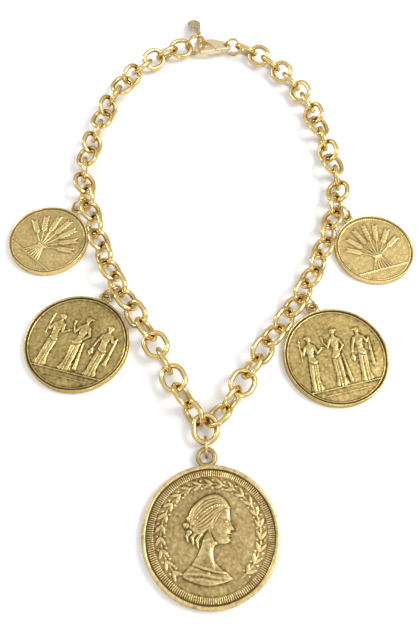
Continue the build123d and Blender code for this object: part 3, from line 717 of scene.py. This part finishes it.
# Of each limb, staff and head: x and y of one end and of the other, and both widths.
limbs = [
    (-0.48, 0.47, -0.475, 0.44, 0.115, 0.095), (-0.54, 0.485, -0.55, 0.48, 0.05, 0.045),
    (-0.48, 0.40, -0.48, 0.35, 0.055, 0.07), (-0.565, 0.295, -0.62, 0.15, 0.065, 0.05),
    (-0.62, 0.15, -0.655, 0.24, 0.05, 0.035), (-0.66, 0.05, -0.665, 0.40, 0.022, 0.03),
    (-0.665, 0.43, -0.66, 0.50, 0.05, 0.015), (-0.395, 0.295, -0.35, 0.14, 0.065, 0.05),
    (-0.35, 0.14, -0.25, 0.20, 0.05, 0.035), (-0.275, 0.225, -0.205, 0.225, 0.028, 0.028),
    (0.02, 0.525, 0.015, 0.49, 0.115, 0.095), (0.08, 0.535, 0.09, 0.53, 0.05, 0.045),
    (0.02, 0.45, 0.02, 0.395, 0.055, 0.07), (0.105, 0.34, 0.175, 0.19, 0.065, 0.05),
    (0.175, 0.19, 0.085, 0.08, 0.05, 0.04), (-0.065, 0.34, -0.13, 0.20, 0.065, 0.05),
    (-0.13, 0.20, -0.20, 0.33, 0.05, 0.035), (-0.205, 0.36, -0.215, 0.43, 0.035, 0.06),
    (0.13, 0.02, 0.20, -0.52, 0.035, 0.075),
    (0.50, 0.45, 0.505, 0.42, 0.115, 0.095), (0.44, 0.465, 0.43, 0.46, 0.05, 0.045),
    (0.50, 0.385, 0.50, 0.33, 0.055, 0.07), (0.415, 0.28, 0.36, 0.13, 0.065, 0.05),
    (0.36, 0.13, 0.335, 0.01, 0.05, 0.035), (0.33, -0.03, 0.33, -0.11, 0.05, 0.10),
    (0.33, -0.11, 0.33, -0.17, 0.06, 0.03), (0.585, 0.28, 0.65, 0.16, 0.065, 0.05),
    (0.65, 0.16, 0.70, 0.25, 0.05, 0.035), (0.70, 0.26, 0.69, -0.30, 0.03, 0.075),
]
# Of each fold: raised or cut, how high or deep, and its x, y and half widths.
robe_folds = [
    (1, 0.055, [(-0.055, 0.27, 0.014), (0.0, 0.20, 0.02), (0.06, 0.26, 0.014)]),
    (1, 0.055, [(-0.06, 0.20, 0.012), (0.0, 0.135, 0.018), (0.055, 0.18, 0.012)]),
    (1, 0.07, [(-0.055, 0.095, 0.016), (0.055, 0.105, 0.016)]),
    (1, 0.07, [(-0.06, 0.02, 0.014), (0.03, -0.04, 0.02), (0.10, -0.02, 0.014)]),
    (-1, 0.13, [(-0.07, -0.02, 0.012), (0.03, -0.085, 0.014), (0.105, -0.06, 0.012)]),
    (1, 0.08, [(-0.03, -0.10, 0.034), (-0.045, -0.26, 0.036), (-0.06, -0.34, 0.03), (-0.05, -0.52, 0.018)]),
    (-1, 0.11, [(0.012, -0.10, 0.010), (0.0, -0.34, 0.012), (-0.005, -0.59, 0.015)]),
    (1, 0.05, [(0.035, -0.10, 0.012), (0.025, -0.35, 0.014), (0.022, -0.60, 0.02)]),
    (-1, 0.10, [(0.055, -0.10, 0.008), (0.045, -0.36, 0.010), (0.052, -0.60, 0.013)]),
    (1, 0.05, [(0.075, -0.10, 0.012), (0.068, -0.38, 0.013), (0.085, -0.60, 0.018)]),
    (-1, 0.12, [(-0.085, -0.40, 0.008), (-0.085, -0.60, 0.012)]),
]
hair_row = [(-0.038, 0.43, 0.010), (-0.04, 0.465, 0.012), (-0.02, 0.49, 0.010)]
lower_finish = coin_finish(
    "dark_antique_brass", bright=(0.60, 0.46, 0.19), middle=(0.43, 0.32, 0.115),
    dark=(0.06, 0.038, 0.012), level=0.45, strength=0.44,
)


def standing(place, way, height, rows):
    """Rows of x, y and any half width, moved from a figure's own axis to its place."""
    moved = []
    for x, y, *half in rows:
        level = (y - ground_level) * height + ground_level
        moved.append((place + way * x + figure_lean * level, level, *half))
    return moved


for node, seed, hang, turn in (("coin_lower_left", 5, 24.9, 13.0), ("coin_lower_right", 6, -22.2, -15.2)):
    trio = Relief(lower_radius, seed)
    out = np.hypot(trio.x, trio.y)
    trio.shape = 0.25 * np.sqrt(np.clip(1 - ((out - line_place) / 0.24) ** 2, 0, 1))
    trio.cut = 0.32 * np.sqrt(np.clip(1 - ((out - line_place - groove_gap) / 0.26) ** 2, 0, 1))
    for x0, y0, x1, y1, width0, width1 in limbs:
        start = (x0 + figure_lean * y0, y0, width0 / 2)
        end = (x1 + figure_lean * y1, y1, width1 / 2)
        trio.rib(trio.shape, 0.36, start, end)
    for figure in figures:
        trio.area(trio.shape, 0.32, 1.1, standing(*figure, robe_outline))
        for sign, rise, rows in robe_folds:
            trio.rib(trio.over if sign > 0 else trio.cut, rise, *standing(*figure, rows))
        trio.rib(trio.over, 0.08, *standing(*figure, hair_row))
    for reach, level, half in ((0.70, ground_level, 0.014), (0.42, -0.7316, 0.007)):
        trio.rib(trio.shape, 0.34, (-reach, level, half), (reach, level, half))
    trio.settle(lower_rim, 0.07, 0.012)
    coin(
        node, trio, lower_thickness, sectors=448, rings=112, eye_hole=2.4, eye_wire=1.2,
        hang=hang, turn=turn, finish=lower_finish,
    )

# The small coins at the sides. The same casting, much rubbed, with a paler and yellower
# brass plating: a sheaf of wheat on a ground line in a ring of fine beads.
upper_radius = 15.5
upper_thickness = 2.5
upper_rim = 0.55
bead_count = 110
bead_place = 0.915
tie_level = -0.22
# Of each stalk: x of its foot, and x and y of its tip.
stalks = [
    (-0.16, -0.62, 0.12), (-0.11, -0.50, 0.38), (-0.055, -0.27, 0.58), (0.0, 0.0, 0.66),
    (0.055, 0.27, 0.58), (0.11, 0.50, 0.38), (0.16, 0.62, 0.12),
]
ear_start = 0.52
ear_length = 0.48
grain_pairs = 6
grain_turn = radians(28)
kernel = [(0.0, 0.012), (0.05, 0.03), (0.09, 0.028), (0.15, 0.006)]
upper_finish = coin_finish(
    "pale_antique_brass", bright=(0.78, 0.61, 0.29), middle=(0.56, 0.42, 0.17),
    dark=(0.22, 0.15, 0.055), level=0.42, strength=0.38,
)
for node, seed, hang, turn in (("coin_upper_left", 8, 32.2, 39.7), ("coin_upper_right", 9, -34.5, -18.2)):
    sheaf = Relief(upper_radius, seed)
    for count in range(bead_count):
        angle = 2 * pi * count / bead_count
        sheaf.rib(sheaf.shape, 0.34, (bead_place * cos(angle), bead_place * sin(angle), 0.019))
    for foot_x, tip_x, tip_y in stalks:
        tied, tip = np.array([foot_x * 0.35, tie_level]), np.array([tip_x, tip_y])
        foot = (foot_x * 1.6, ground_level, 0.018)
        sheaf.rib(sheaf.shape, 0.34, foot, (*tied, 0.018), (*tip, 0.014))
        rise = tip - tied
        lean = np.arctan2(rise[1], rise[0])
        for count in range(grain_pairs):
            place = tied + rise * (ear_start + ear_length * count / (grain_pairs - 1))
            for way in (-1, 1):
                turned = lean + grain_turn * way
                grain_way = np.array([cos(turned), sin(turned)])
                grain = [(*(place + grain_way * along), half) for along, half in kernel]
                sheaf.rib(sheaf.shape, 0.42, *grain)
    sheaf.rib(sheaf.shape, 0.45, (-0.10, tie_level, 0.035), (0.10, tie_level, 0.035))
    sheaf.rib(sheaf.shape, 0.36, (-0.66, ground_level, 0.018), (0.66, ground_level, 0.018))
    sheaf.settle(upper_rim, 0.09, 0.013)
    coin(
        node, sheaf, upper_thickness, sectors=352, rings=90, eye_hole=2.2, eye_wire=1.1,
        hang=hang, turn=turn, finish=upper_finish,
    )

# The lobster clasp and the tag. The clasp is cast, tumbled and satin gold plated: a claw
# with a sprung lever on a pin. The tag is a thin petal with a hammered face and a dark
# bronze plating that hangs at the end ring.
satin_gold, start, shader = metal("satin_gold")
tone = noise(start, 0.003)
scuffs = noise(start, 0.0004, 4.0, 0.7)
feed(start, shader, {
    "Base Color": tone.between((0.87, 0.71, 0.43), (0.94, 0.79, 0.52)),
    "Metallic": 1.0,
    "Roughness": 0.26 + scuffs * 0.18,
    "Normal": bump(start, scuffs, 0.00003, 0.4),
    "Specular Tint": (0.9, 0.8, 0.6, 1),
})
tag_bronze, start, shader = metal("tag_bronze")
dents = start.node("TexVoronoi", {"feature": "SMOOTH_F1"}, {
    "Vector": start.node("TexCoord", {}, {}, "Object"), "Scale": 1100.0, "Smoothness": 0.6,
}, "Distance")
tarnish = noise(start, 0.0009, 4.0, 0.65)
feed(start, shader, {
    "Base Color": (tarnish * 3.4 - 1.25).clamped().between((0.20, 0.14, 0.06), (0.86, 0.68, 0.38)),
    "Metallic": 0.9,
    "Roughness": 0.30 + tarnish * 0.22,
    "Normal": bump(start, dents, 0.0005, 0.9),
})
for node, voxel, finish, slot, body in (
    ("clasp_body", 0.00011, satin_gold, "satin_gold", "necklace"),
    ("clasp_lever", 0.00010, satin_gold, "satin_gold", "clasp_lever"),
    ("tag", 0.00010, tag_bronze, "tag_bronze", "necklace"),
):
    piece = copy_of(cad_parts[node], node + "_cast", Matrix.Identity(4))
    pick(piece)
    bpy.ops.object.mode_set(mode="EDIT")
    bpy.ops.mesh.select_all(action="SELECT")
    bpy.ops.mesh.remove_doubles(threshold=1e-7)
    bpy.ops.object.mode_set(mode="OBJECT")
    remesh = piece.modifiers.new("remesh", "REMESH")
    remesh.mode = "VOXEL"
    remesh.voxel_size = voxel
    bpy.ops.object.modifier_apply(modifier=remesh.name)
    smooth = piece.modifiers.new("tumbled", "SMOOTH")
    smooth.factor = 0.5
    smooth.iterations = 14
    bpy.ops.object.modifier_apply(modifier=smooth.name)
    dress(piece, finish, slot, body, node)
